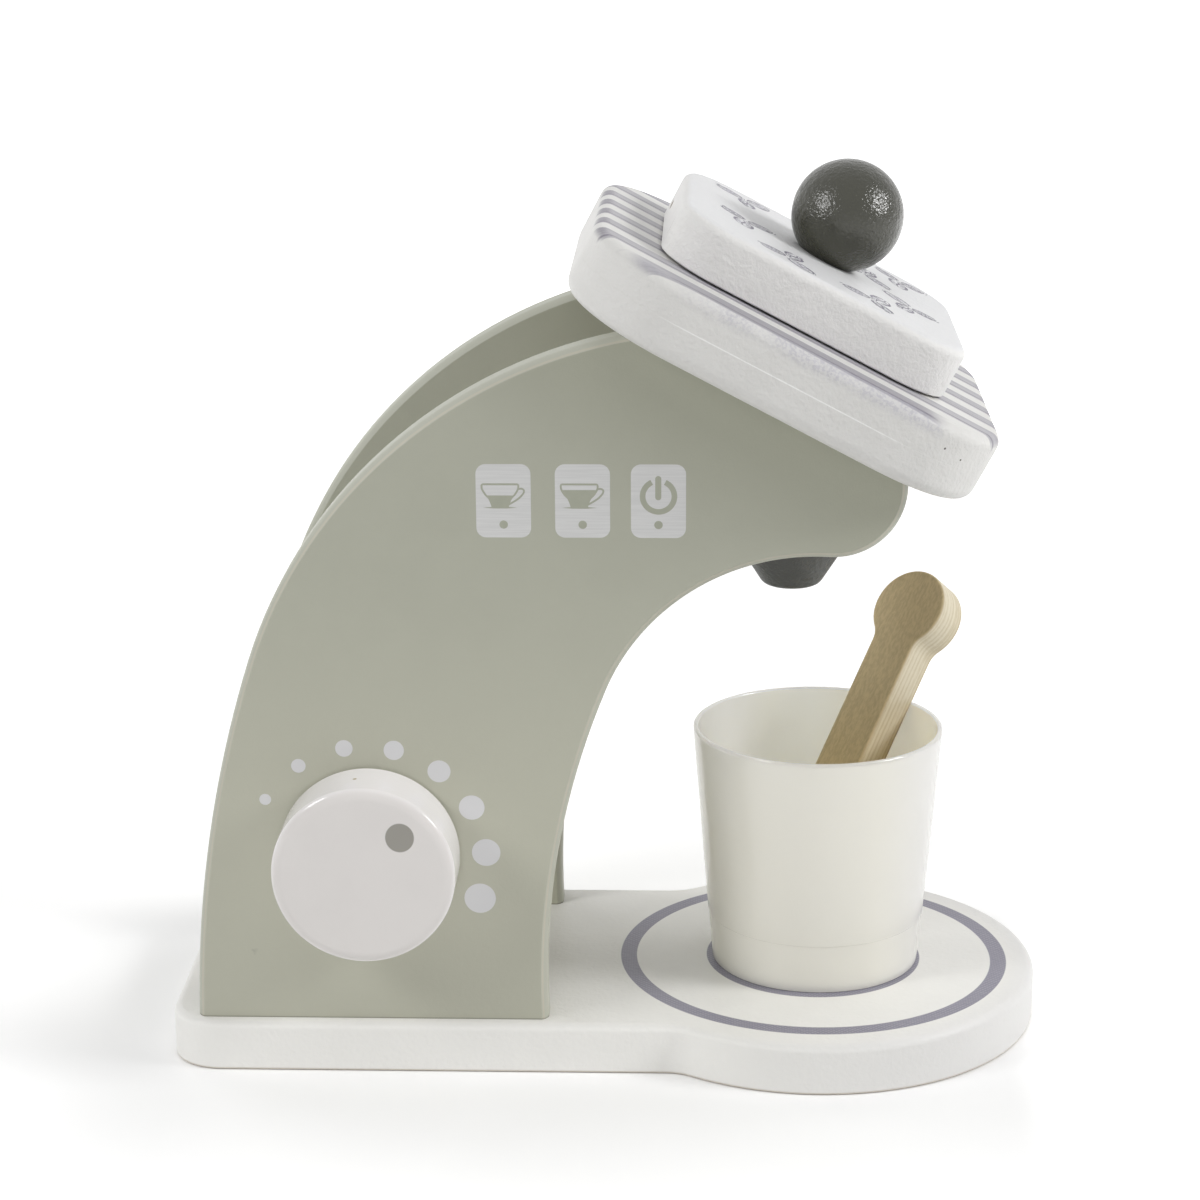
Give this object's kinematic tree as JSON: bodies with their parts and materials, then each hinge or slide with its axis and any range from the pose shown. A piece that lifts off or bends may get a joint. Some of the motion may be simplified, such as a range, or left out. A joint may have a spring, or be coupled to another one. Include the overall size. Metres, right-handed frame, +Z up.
{
  "type": "toy coffee maker",
  "caption": "Wooden toy coffee maker: paddle base, two arched side panels, sloping head with lift-off lid and ball knob, turning dial, cone nozzle, cup and spoon.",
  "frame": {"origin": "underside of the base, below the middle of the round cup stand", "axes": "+X from the tail towards the cup stand, +Y to the back (away from the dial), +Z up"},
  "size_m": [0.2015, 0.1072, 0.2029],
  "materials": {
    "white_paint": "satin white paint on board",
    "sage_paint": "satin sage paint on board",
    "charcoal_paint": "satin charcoal paint on turned wood",
    "olive_lacquer": "gloss dark olive lacquer on a wooden ball",
    "bare_wood": "bare sanded wood",
    "birch_ply": "bare birch plywood with visible plies",
    "zinc_steel": "zinc plated",
    "cream_plastic": "gloss moulded"
  },
  "bodies": {
    "machine": {"base_board": "white_paint", "front_panel": "sage_paint", "rear_panel": "sage_paint", "nozzle_block": "bare_wood", "nozzle": "charcoal_paint", "head_lower_board": "white_paint", "head_upper_board": "white_paint", "base_screws": "zinc_steel", "base_dowels": "bare_wood", "head_screws": "zinc_steel", "block_dowels": "bare_wood"},
    "dial": {"dial_knob": "white_paint", "dial_axle": "bare_wood", "dial_button": "bare_wood"},
    "lid": {"lid_board": "white_paint", "lid_plug": "bare_wood", "lid_ball": "olive_lacquer", "lid_screw": "zinc_steel"},
    "cup": {"cup": "cream_plastic"},
    "spoon": {"spoon": "birch_ply"}
  },
  "joints": [
    {"name": "dial_turn", "type": "hinge", "parent": "machine", "child": "dial", "pos_m": [-0.1014, -0.0399, 0.0524], "axis": [0, -1, 0], "continuous": true},
    {"name": "lid_lift", "type": "slide", "parent": "machine", "child": "lid", "axis": [0.4695, 0, 0.8829], "range_m": [0, 0.05]},
    {"name": "cup_slide", "type": "slide", "parent": "machine", "child": "cup", "axis": [1, 0, 0], "range_m": [0, 0.11]},
    {"name": "spoon_draw", "type": "slide", "parent": "cup", "child": "spoon", "axis": [0.414, 0.444, 0.7946], "range_m": [0, 0.07]}
  ]
}
